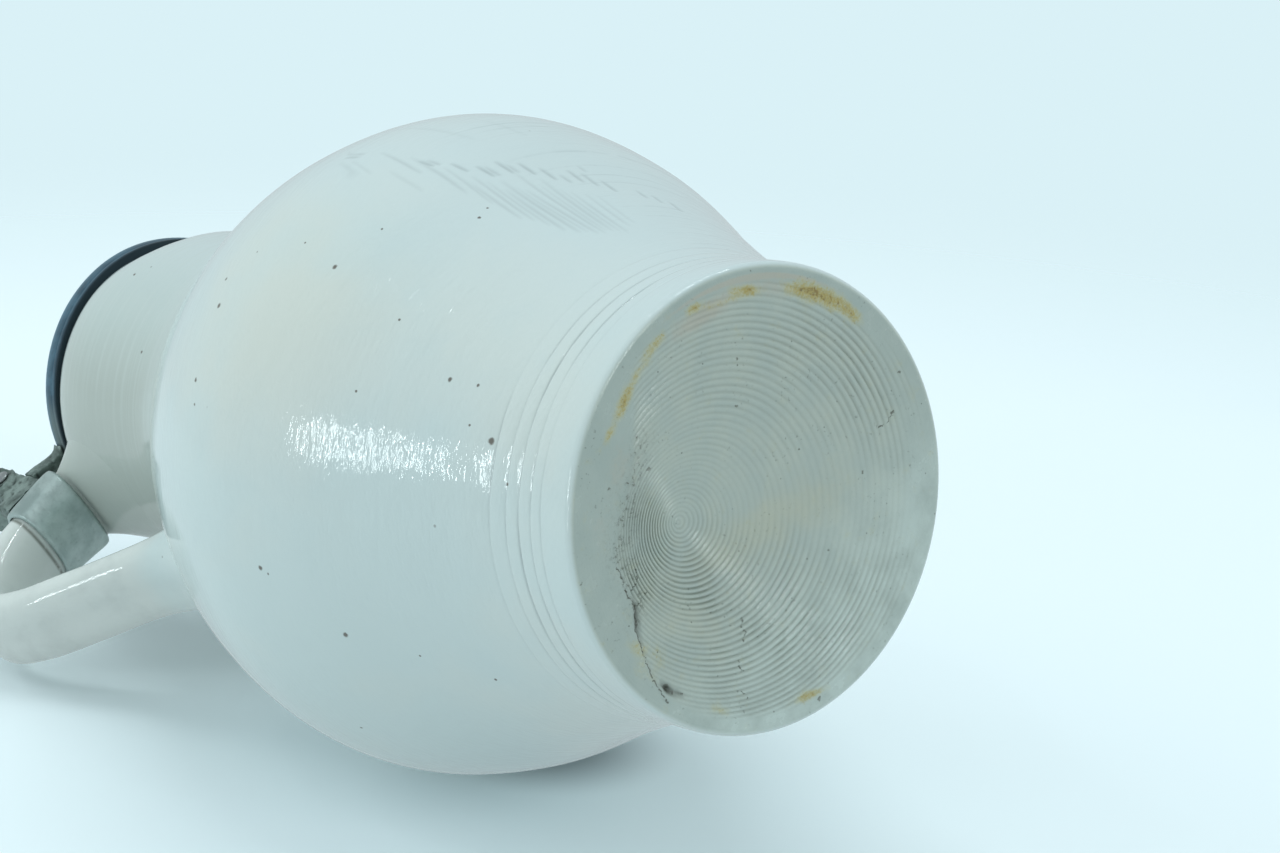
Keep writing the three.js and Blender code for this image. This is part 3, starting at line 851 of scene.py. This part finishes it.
# A rough casting: a copy of the solid's mesh, worn round and eaten into lumps and pits
def makeCasting(name, node):
    look = castings[node]
    piece = bpy.data.objects.new(name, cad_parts[node].data.copy())
    bpy.context.scene.collection.objects.link(piece)
    apply(piece, "REMESH", mode="VOXEL", voxel_size=castingVoxel)
    apply(piece, "SMOOTH", factor=0.5, iterations=look["wearAndHighlight"])
    where, normals = points(piece), vectors(piece.data.vertices, "normal")
    shift, pitted = np.zeros(len(where)), np.zeros(len(where))
    for i, (x, y, z) in enumerate(where):
        lump = fractal((x / look["lumpSize"], y / look["lumpSize"], z / look["lumpSize"]), 1.0, 2.0, 3)
        pit = noise((x / look["pitSize"] + 9, y / look["pitSize"], z / look["pitSize"]))
        pitted[i] = min(max((pit - 0.22) * 2.6, 0), 1)
        shift[i] = -look["lumps"] * (0.5 - lump) - look["pits"] * pitted[i]
    setPoints(piece, where + normals * np.minimum(shift, 0.00005)[:, None])
    addAttribute(piece, "dark", pitted)
    smooth(piece, 70)
    return piece


def makePin():
    end, head, radius = mount["pinEnd"], mount["headRadius"], mount["pinRadius"]
    cap = []
    for degrees in (0, 20, 40, 60, 75, 90):
        a = math.radians(degrees)
        cap.append((head * math.sin(a), end + 0.0002 + 0.0008 * math.cos(a)))
    half = cap + [(head, end), (head - 0.0003, end - 0.0001), (radius, end - 0.0001), (radius, 0.006)]
    outline = half + [(r, -h) for r, h in half[::-1]]
    piece = turn("hinge_rivet", outline, 40)
    x, y, z = points(piece).T
    setPoints(piece, np.stack([mount["hingeX"] + x, z, mount["hingeZ"] - y], 1))
    smooth(piece, 40)
    return piece


# Lid

cover = {
    "rimRadius": 0.0433, "seat": 0.2783, "edgeTop": 0.2854, "top": 0.3005,
    "collarOuter": 0.0342, "collarInner": 0.0322, "collarEnd": 0.2757, "steps": 160,
    "domeRadius": 0.0318, "hollowRadius": 0.0316, "hollowHeight": 0.0137, "lineDepth": 0.00022,
    "overhang": 0.0011, "overhangAt": 100, "overhangSpread": 42, "dents": 0.00008,
}


def lidOutline():
    rim, seat, edge, top = cover["rimRadius"], cover["seat"], cover["edgeTop"], cover["top"]
    hollow = []
    for degrees in range(90, -1, -6):
        a = math.radians(degrees)
        across = max(0.0, cover["hollowRadius"] * math.cos(a))
        hollow.append((across, edge - 0.001 + cover["hollowHeight"] * math.sin(a)))
    inner, outer, end = cover["collarInner"], cover["collarOuter"], cover["collarEnd"]
    collar = [
        (inner, seat + 0.003), (inner, end + 0.0003), (inner + 0.0003, end), (outer - 0.0003, end),
        (outer, end + 0.0003), (outer, seat - 0.0003), (outer + 0.0004, seat),
    ]
    upright = [(0.039, seat), (rim - 0.0007, seat), (rim - 0.0002, seat + 0.0002), (rim, seat + 0.0006)]
    for share in (0.0018, 0.0022, 0.0025, 0.0028, 0.0032, 0.004, 0.005):
        upright.append((rim - cover["lineDepth"] * float(bell(share, 0.0025, 0.0003)), seat + share))
    rolled = [
        (rim, edge - 0.0013), (rim - 0.0002, edge - 0.0007), (rim - 0.0007, edge - 0.00025), (rim - 0.0014, edge),
    ]
    brim = []
    for radius in np.arange(0.0413, 0.0358, -0.0002):
        dip = cover["lineDepth"] * float(bell(radius, 0.0396, 0.00028) + bell(radius, 0.0372, 0.00028))
        brim.append((float(radius), edge - dip))
    rise = [
        (0.0353, edge + 0.0001), (0.035, edge + 0.0006), (0.0347, edge + 0.0015), (0.0341, edge + 0.0021),
        (0.0331, edge + 0.0023), (0.0324, edge + 0.0024),
    ]
    dome = []
    for degrees in np.arange(2, 90.1, 2):
        a = math.radians(degrees)
        fine = 0.0001 * math.cos(degrees * 0.9) ** 8
        height = edge + 0.003 + (top - edge - 0.003 - fine) * math.sin(a) - 0.0001
        dome.append((max(0.0, cover["domeRadius"] * math.cos(a)), height))
    dome[-1] = (0.0, dome[-1][1])
    return hollow + collar + upright + rolled + brim + rise + dome


def makeLid():
    piece = turn("pewter_lid", lidOutline(), cover["steps"])
    where = points(piece)
    x, y, z = where.T
    radius = np.hypot(x, y)
    share = np.clip((radius - cover["rimRadius"] + 0.008) / 0.006, 0, 1)
    overhang = cover["overhang"] * bell(azimuthOf(x, y), cover["overhangAt"], cover["overhangSpread"])
    reach = share * (lipBulge(x, y) + overhang)
    dent = (unevenAt(where, 55) - 1) * cover["dents"]
    scale = 1 + (reach + dent * (radius > 0.034)) / np.maximum(radius, 0.001)
    setPoints(piece, np.stack([x * scale, y * scale, z], 1))
    smooth(piece, 40)
    return piece


# Materials

# Iron specks in the glaze, as [degrees, height, radius] in millimetres
specks = [
    (53, 31, 0.9), (9.5, 78.7, 0.75), (23, 97.5, 0.75), (22, 95.5, 0.45), (77.5, 90.5, 0.75), (53, 124.5, 0.7),
    (49, 122.5, 0.5), (49, 116, 0.4), (66, 125, 0.8), (71, 128.5, 0.6), (76.5, 120, 0.4), (64, 47.2, 0.65),
    (64.5, 39.2, 0.45), (55.5, 38, 0.35), (44, 24, 0.5), (18, 7, 0.6), (99.5, 69, 0.45), (102.5, 70, 0.35),
    (72.5, 67, 0.35), (57, 70.5, 0.35), (-13.5, 97, 0.5), (-7, 46.5, 0.45), (2.5, 62, 0.35), (87.5, 86, 0.35),
    (80, 104, 0.35), (210, 92, 0.8), (250, 60, 0.6), (175, 130, 0.6), (290, 110, 0.7), (232, 150, 0.5),
    (60, 226, 0.5), (88, 252, 0.5), (93, 248, 0.35),
]

# Pits of the base, as [x, y, radius] in millimetres
scars = [
    (-51.9, -4.6, 0.45), (-43.8, -11.2, 0.6), (-27.8, -16.2, 0.5), (-16, 2, 0.35), (-8, -24.5, 0.5),
    (18.8, 38.2, 0.5), (20.8, 29.8, 0.5), (32.3, 34, 0.45), (27.4, 31.6, 0.4), (52.2, 21.8, 0.45), (16.8, -52, 0.5),
    (-21, 14, 0.25), (-8, 24, 0.35), (-31, 47.2, 0.35), (8, -26, 0.3), (-15, 33, 0.35),
    (49.1, -15.8, 0.9), (48.5, -18.2, 0.5), (46.6, -20.4, 0.4), (21, -53, 0.3), (26.4, 6.5, 0.4),
]

# Cracks and torn edges of the base, as [half width, points] in millimetres
cracks = [
    (0.3, [(44, 6.4), (45.6, 3.6), (47.4, 1.4)]), (0.2, [(47.4, 1.4), (49.6, -6), (51, -12), (51.2, -19)]),
    (0.22, [(42, 17.6), (42.6, 14.4), (43.8, 11.4), (44, 6.4)]), (0.2, [(38.4, 13.4), (39.2, 11.2), (42.4, 10)]),
    (0.2, [(39.2, 6.6), (42.6, 6.2), (44, 6.4)]), (0.17, [(22, -18.6), (23.6, -20.4), (23.4, -22), (25.2, -23.4)]),
    (0.16, [(29.2, -26.4), (30.2, -28.2), (29.8, -30)]), (0.15, [(33.4, -32.8), (32.8, -34.4), (33.2, -36.4)]),
    (0.14, [(-44.4, -11), (-41.4, -12), (-38.6, -11)]),
]


# Small dark spots with ragged outlines, each [place, radius]
def spotted(paint, vector, rows):
    total = 0.0
    for place, size in rows:
        total = total + (1 - paint.fade(paint.away(vector, place), size * 0.00055, size * 0.00125))
    return total


# Thin dark lines from point to point, each [half width, points]
def lined(paint, vector, rows):
    total = 0.0
    for width, line in rows:
        for a, b in zip(line[:-1], line[1:]):
            start, end = Vector((a[0] / 1000, a[1] / 1000, 0)), Vector((b[0] / 1000, b[1] / 1000, 0))
            span = end - start
            scaled = span / span.length_squared
            dot = paint.node("VectorMath", {"operation": "DOT_PRODUCT"}, {0: vector, 1: scaled}, out=1)
            along = paint.node("Math", {"operation": "SUBTRACT", "use_clamp": True}, {0: dot, 1: start.dot(scaled)})
            nearest = paint.node("VectorMath", {"operation": "MULTIPLY_ADD"}, {0: along, 1: span, 2: start})
            total = total + (1 - paint.fade(paint.away(vector, nearest), width * 0.0005, width * 0.0015))
    return total


def onWall(degrees, height):
    a, r = math.radians(degrees), float(radiusAt(height / 1000))
    return r * math.cos(a), r * math.sin(a), height / 1000


def bareClay(paint, mottle, fine):
    fade, grain, attribute = paint.fade, paint.grain, paint.attribute
    crumbled, smoothed = attribute("crumbled"), attribute("smooth")
    # Painted light: the base is lighter towards -Y, standing in for the glints on its ridges
    paintedGlintLight = fade(paint.axes()[1] * -1.0, 0.008, 0.045) * fade(mottle, 0.2, 0.7)
    brown = fade(attribute("brownish") + (mottle - 0.5) * 0.8, 0.1, 0.8)
    pink = fade(attribute("pinkish") + fine * 0.5, 0.4, 1.0)
    stain = attribute("ochre") + (grain(0.0045, 3, 0.6) - 0.5) * 1.1
    core = fade(stain + (grain(0.0008, 4, 0.7) - 0.5) * 2.2, 0.3, 1.2)
    rust = fade(stain + (grain(0.0012, 3, 0.7) - 0.5) * 2.0, 0.95, 1.35)
    pocks = fade(grain(0.0011, 2, 0.5), 0.62, 0.74) * fade(grain(0.01, 3), 0.45, 0.65)
    dots = (1 - fade(paint.spots(0.0042), 0.035, 0.07)) * fade(grain(0.007, 2), 0.46, 0.52)
    torn = fade(grain(0.0014, 4, 0.75), 0.5, 0.66) * crumbled
    ragged = paint.stretched((1, 1, 0)) + (grain(0.0013, 3, 0.65, color=True) - 0.5) * 0.002
    scarred = spotted(paint, ragged, [((a / 1000, b / 1000, 0.0), size) for a, b, size in scars])
    return paint.layered((0.408, 0.475, 0.44), [
        (fade(mottle, 0.3, 0.7), (0.45, 0.505, 0.45)),
        (fade(fine, 0.45, 0.75) * 0.35, (0.385, 0.455, 0.42)),
        (smoothed * 0.75, (0.355, 0.425, 0.395)),
        (fade(mottle, 0.25, 0.75) * smoothed * 0.4, (0.445, 0.51, 0.475)),
        (paintedGlintLight * 0.85, (0.535, 0.63, 0.595)),
        (brown * 0.5, (0.46, 0.47, 0.36)),
        (pink * 0.7, (0.46, 0.44, 0.37)),
        # Painted shade in the wire's grooves
        (attribute("groove") * 0.62, (0.19, 0.212, 0.17)),
        (fade(stain, 0.05, 0.7) * 0.55, (0.5, 0.47, 0.24)),
        (core * 0.8, (0.395, 0.305, 0.075)),
        (rust * 0.6, (0.17, 0.1, 0.03)),
        (pocks * 0.5 + dots * 0.75, (0.11, 0.12, 0.1)),
        (torn * 0.75, (0.12, 0.13, 0.105)),
        (scarred * 0.75, (0.12, 0.125, 0.1)),
        (lined(paint, ragged, cracks) * 0.85, (0.085, 0.09, 0.072)),
        (attribute("dark"), (0.075, 0.08, 0.065)),
    ])


def glazePaint():
    paint = Paint(bpy.data.materials.new("salt_glaze"))
    fade, grain, attribute = paint.fade, paint.grain, paint.attribute
    x, y, z = paint.axes()
    base, incisedShade = attribute("baseFace"), attribute("incisedShade")
    cloud, mottle, fine = grain(0.06, 3), grain(0.012, 4, 0.6), grain(0.0016, 3, 0.6)
    # Painted light: a warmer patch where the left window falls, and a cooler, lighter top side away from the handle
    paintedWarmLight = (1 - fade(paint.away(paint.place(), (0.026, 0.076, 0.108)), 0.012, 0.05)) * fade(cloud, 0.2, 0.7)
    paintedCoolLight = fade(x * -1.0, -0.025, 0.03) * fade(y, 0.0, 0.03)
    # The handle, and painted shade on the neck and round the handle's root
    beyond = fade(x, 0.052, 0.062)
    onHandle = beyond * fade(z, 0.19, 0.2)
    neck = fade(z, 0.19, 0.215) * (1 - beyond)
    root = fade(x, 0.012, 0.04) * fade(z, 0.205, 0.225) * (1 - beyond)
    # Fine turning lines on the side away from the handle, and faint rings of the fingers on the neck shown as
    # painted highlights
    turned = paint.stripes(z, 520.0, 3.0)
    farSide = fade(x * -1.0, 0.026, 0.052) * fade(y, 0.0, 0.03) * (1 - fade(z, 0.12, 0.16))
    lines = fade(turned, 0.58, 0.7) * farSide * fade(mottle, 0.35, 0.6)
    neckRingHighlights = fade(turned, 0.45, 0.68) * fade(z, 0.205, 0.222) * (1 - fade(x, 0.04, 0.05))
    # Grime and painted shade in the corner where the clay meets the band
    corner = fade(x, 0.0702, 0.0712) * (1 - fade(x, 0.0712, 0.0722)) * fade(z, 0.24, 0.25)
    grimeAndShade = corner * fade(grain(0.002, 3, 0.6), 0.15, 0.5)
    body = paint.layered((0.575, 0.672, 0.668), [
        (fade(cloud, 0.38, 0.66), (0.615, 0.68, 0.655)),
        (fade(mottle, 0.48, 0.75) * 0.25, (0.545, 0.642, 0.642)),
        (paintedWarmLight * 0.55, (0.635, 0.66, 0.59)),
        (neck * 0.75, (0.44, 0.512, 0.485)),
        (paintedCoolLight * 0.7, (0.588, 0.676, 0.688)),
        (root * 0.55, (0.385, 0.405, 0.36)),
        (onHandle * 0.8, (0.64, 0.675, 0.645)),
        (onHandle * fade(mottle, 0.42, 0.7) * 0.5, (0.52, 0.56, 0.54)),
        # Painted shade in the turned lines and tool marks, partly a thinner glaze there
        (incisedShade * 0.6, (0.27, 0.31, 0.32)),
        (lines * 0.3, (0.36, 0.43, 0.44)),
        (grimeAndShade * 0.8, (0.13, 0.135, 0.11)),
        (neckRingHighlights * fade(cloud, 0.3, 0.6) * 0.35, (0.53, 0.6, 0.575)),
    ])
    ragged = paint.place() + (grain(0.0012, 2, 0.6, color=True) - 0.5) * 0.0006
    iron = spotted(paint, ragged, [(onWall(a, h), size) for a, h, size in specks])
    iron = iron * 0.85 + (1 - fade(paint.spots(0.026), 0.01, 0.02)) * 0.45
    color = paint.mix(iron, paint.mix(base, body, bareClay(paint, mottle, fine)), (0.085, 0.06, 0.042))
    # The wall's skin is a fine orange peel, drawn out a little round the pot
    around, ringed = paint.stretched((0.6, 0.6, 1.9)), paint.stretched((0.35, 0.35, 1))
    peel = 1 - fade(paint.away(paint.place(), (0.042, 0.062, 0.06)), 0.03, 0.075) * 0.6
    bump, waves = None, ((0.01, 1, ringed, 0.00055), (0.006, 2, around, 0.00026), (0.0022, 2, around, 0.00024))
    for size, detail, vector, height in waves:
        bump = paint.bump(grain(size, detail, 0.5, vector) * peel, height, 0.6, bump)
    # Grit of the bare clay, with round scratches where it is smooth
    fromAxis = (x * x + y * y) ** 0.5
    scratches = paint.stripes(fromAxis, 1500.0, 2.0)
    smoothed, crumbled = attribute("smooth"), attribute("crumbled")
    grit = grain(0.0009, 3, 0.7) + scratches * smoothed * 0.6 + grain(0.0022, 4, 0.8) * crumbled * 2.2
    bump = paint.bump(grit * base, 0.00016, 0.6, bump)
    roughness = 0.07 + base * 0.07 + fade(mottle, 0.4, 0.7) * 0.05 + smoothed * 0.1
    return paint.shader(Base_Color=color, Roughness=roughness, Normal=bump, IOR=1.5)


def darker(tone, share):
    return tuple(c * share for c in tone)


def pewterPaint(name, look):
    paint = Paint(bpy.data.materials.new(name))
    fade = paint.fade
    cloud, fine = paint.grain(look["size"] * 6, 4, 0.6), paint.grain(look["size"], 4, 0.65)
    color = paint.layered(look["shade"], [
        (fade(cloud, 0.35, 0.68), look["light"]),
        (fade(fine, 0.5, 0.8) * 0.4, darker(look["shade"], 0.6)),
        (paint.attribute("dark") * 0.75, darker(look["shade"], 0.35)),
    ])
    if "nearHinge" in look:
        x, _, z = paint.axes()
        # Along the lid's edge: a painted highlight on its top and painted shade on its underside
        wearAndHighlight = fade(z, 0.2822, 0.2846) * (1 - fade(z, 0.2855, 0.2859)) * fade(fine, 0.25, 0.5)
        color = paint.layered(color, [
            (fade(x, 0.034, 0.04), look["nearHinge"]),
            (wearAndHighlight * 0.75, look["edgeHighlight"]),
            (1 - fade(z, 0.2784, 0.28), look["underside"]),
        ])
    bump = paint.bump(fine, look["relief"], 0.7)
    roughness = look["roughness"] + fade(cloud, 0.3, 0.7) * 0.12
    return paint.shader(Base_Color=color, Metallic=look["metal"], Roughness=roughness, Normal=bump)


pewters = {
    "band_pewter": {
        "light": (0.52, 0.61, 0.59), "shade": (0.36, 0.445, 0.43), "roughness": 0.36,
        "size": 0.0014, "relief": 0.00003, "metal": 0.75,
    },
    "cast_pewter": {
        "light": (0.31, 0.385, 0.355), "shade": (0.125, 0.165, 0.15), "roughness": 0.48,
        "size": 0.0009, "relief": 0.00016, "metal": 0.6,
    },
    # The lid's dark navy is a painted reflection of the dark room in its pewter
    "lid_pewter": {
        "light": (0.105, 0.2, 0.265), "shade": (0.055, 0.105, 0.145), "roughness": 0.42,
        "size": 0.0015, "relief": 0.00005, "metal": 0.6, "nearHinge": (0.16, 0.21, 0.215),
        "edgeHighlight": (0.19, 0.32, 0.4), "underside": (0.018, 0.034, 0.044),
    },
    "pin_metal": {
        "light": (0.45, 0.47, 0.47), "shade": (0.3, 0.32, 0.32), "roughness": 0.35,
        "size": 0.0008, "relief": 0.00002, "metal": 0.9,
    },
}

glaze = glazePaint()
pewter = {name: pewterPaint(name, look) for name, look in pewters.items()}
print("materials made")

# Stage and light

stage = {
    "floorRoll": 0.05,  # how far the table leans in the picture
    "floorTip": -0.3,  # how steeply it is seen from above
    "floorReach": 0.8,
    "floorColor": (0.875, 0.958, 0.987),
    "contactShadowColor": (0.27, 0.315, 0.335),
    "upperWhite": (0.702, 0.88, 0.928),
    "lowerWhite": (0.781, 0.956, 0.982),
    "lightColor": (0.86, 0.97, 1.0),
    "lightStrength": 0.62,
}

lampColor = (0.88, 0.98, 1.0)

# Each [name, direction seen from the camera, aim, distance, size, watts, whether the glaze mirrors it]. The size is
# first across the jug's axis and then along it.
lamps = [
    ("left_window", (-0.889, -0.035, -0.458), (0.048, 0.054, 0.06), 1.5, (0.32, 0.08), 1.7, True),
    ("upper_window", (-0.46, -0.785, -0.415), (0.018, 0.064, 0.044), 1.5, (0.07, 0.06), 0.4, True),
    ("low_window", (-0.66, 0.2, -0.72), (0.083, 0, 0.217), 1.5, (0.28, 0.09), 0.9, True),
    ("edge_window", (0.12, -0.95, -0.07), (0, 0.055, 0), 1.5, (1.1, 0.04), 4.5, True),
    ("right_window", (0.69, -0.21, -0.69), (0, 0, 0), 1.7, (0.26, 0.26), 3.6, True),
    ("right_soft", (0.86, -0.45, -0.22), (0, 0, 0), 1.7, (0.9, 0.9), 2.5, False),
    ("low_left", (-0.78, 0.02, -0.62), (0, 0, 0.12), 1.5, (1.2, 1.2), 2.0, False),
    ("back_left", (-0.86, -0.46, 0.22), (0, 0, 0.12), 1.6, (0.9, 0.7), 7.0, False),
    ("top_soft", (0.12, -0.98, -0.05), (0, 0, 0.12), 1.6, (1.1, 1.1), 3.0, False),
]


def makeStage(look):
    upward = (-down + right * look["floorRoll"] + forward * look["floorTip"]).normalized()
    bpy.ops.mesh.primitive_circle_add(vertices=64, radius=look["floorReach"], fill_type="NGON")
    floor = bpy.context.object
    floor.name = "table"
    # The belly is round, so its lowest point is found for this tilt
    outward = Vector((upward.x, upward.y, 0)).normalized()
    heights = np.linspace(0.0016, 0.2756, 120)
    lowest = min(
        (Vector((0, 0, z)) - outward * r for z, r in zip(heights, radiusAt(heights))), key=lambda p: p.dot(upward),
    )
    turned = upward.to_track_quat("Z", "Y").to_matrix().to_4x4()
    floor.matrix_world = Matrix.Translation(lowest - upward * 0.0006) @ turned
    paint = Paint(bpy.data.materials.new("table_paper"))
    x, y, _ = paint.axes()
    away = (x * x + y * y) ** 0.5
    paper = 1 - paint.fade(away, look["floorReach"] * 0.45, look["floorReach"] * 0.97)
    behind, camera = paint.node("NewGeometry", out=6), paint.node("LightPath")
    # Part of the tent's light reaches the jug's underside, so that it isn't black where it touches
    shown = paper * (1 - behind * camera) * (0.4 + camera * 0.6)
    # Painted contact shadow: the paper is darker close to where the belly rests
    rest = floor.matrix_world.inverted() @ (lowest + right * 0.02 + forward * 0.01)
    near = paint.fade(paint.away(paint.place(), rest), 0.003, 0.038)
    plain = paint.node("BsdfDiffuse", sockets={"Color": paint.mix(near, look["contactShadowColor"], look["floorColor"])})
    clear = paint.node("BsdfTransparent")
    floor.data.materials.append(paint.surface(paint.node("MixShader", sockets={0: shown, 1: clear, 2: plain})))


# The camera sees the tent's two whites, and everything else its light
def makeWorld(look):
    paint = Paint(bpy.data.worlds.new("light_tent"), "ShaderNodeOutputWorld")
    up = paint.node("VectorMath", {"operation": "DOT_PRODUCT"}, {0: paint.node("TexCoord"), 1: -down}, out=1)
    edge = paint.node("MapRange", sockets={"Value": up, "From Min": -0.004, "From Max": 0.006})
    seen = paint.node("Background", sockets={"Color": paint.mix(edge, look["lowerWhite"], look["upperWhite"])})
    sockets = {"Color": (*look["lightColor"], 1), "Strength": look["lightStrength"]}
    light, camera = paint.node("Background", sockets=sockets), paint.node("LightPath")
    bpy.context.scene.world = paint.surface(paint.node("MixShader", sockets={0: camera, 1: light, 2: seen}))


def makeLamps(rows):
    for name, direction, aim, distance, size, watts, mirrored in rows:
        data = bpy.data.lights.new(name, "AREA")
        data.shape = "RECTANGLE"
        data.size, data.size_y = size
        data.energy, data.color = watts, lampColor
        lamp = bpy.data.objects.new(name, data)
        lamp.visible_glossy = mirrored
        toLamp = fromCamera(*direction)
        across = Vector((0, 0, 1)).cross(toLamp).normalized()
        facing = Matrix((across, toLamp.cross(across), toLamp)).transposed().to_4x4()
        lamp.matrix_world = Matrix.Translation(Vector(aim) + toLamp * distance) @ facing
        bpy.context.scene.collection.objects.link(lamp)


makeStage(stage)
makeWorld(stage)
makeLamps(lamps)
print("stage and lamps made")

finishPiece(makeBody(), "jug", "stoneware", glaze, "jug_body")
finishPiece(makeHandle(), "jug", "stoneware", glaze, "handle")
finishPiece(makeBand(), "jug", "band_pewter", pewter["band_pewter"], "handle_band")
finishPiece(makePin(), "jug", "pin_metal", pewter["pin_metal"], "hinge_pin")
finishPiece(makeLid(), "lid", "lid_pewter", pewter["lid_pewter"], "lid")
for name, node, body in (
    ("cast_bracket", "hinge_bracket", "jug"), ("cast_tang", "lid_tang", "lid"),
    ("cast_thumb_rest", "thumb_rest", "lid"),
):
    finishPiece(makeCasting(name, node), body, "cast_pewter", pewter["cast_pewter"], node)
print("pieces made")

bpy.context.scene.view_settings.view_transform = "Standard"
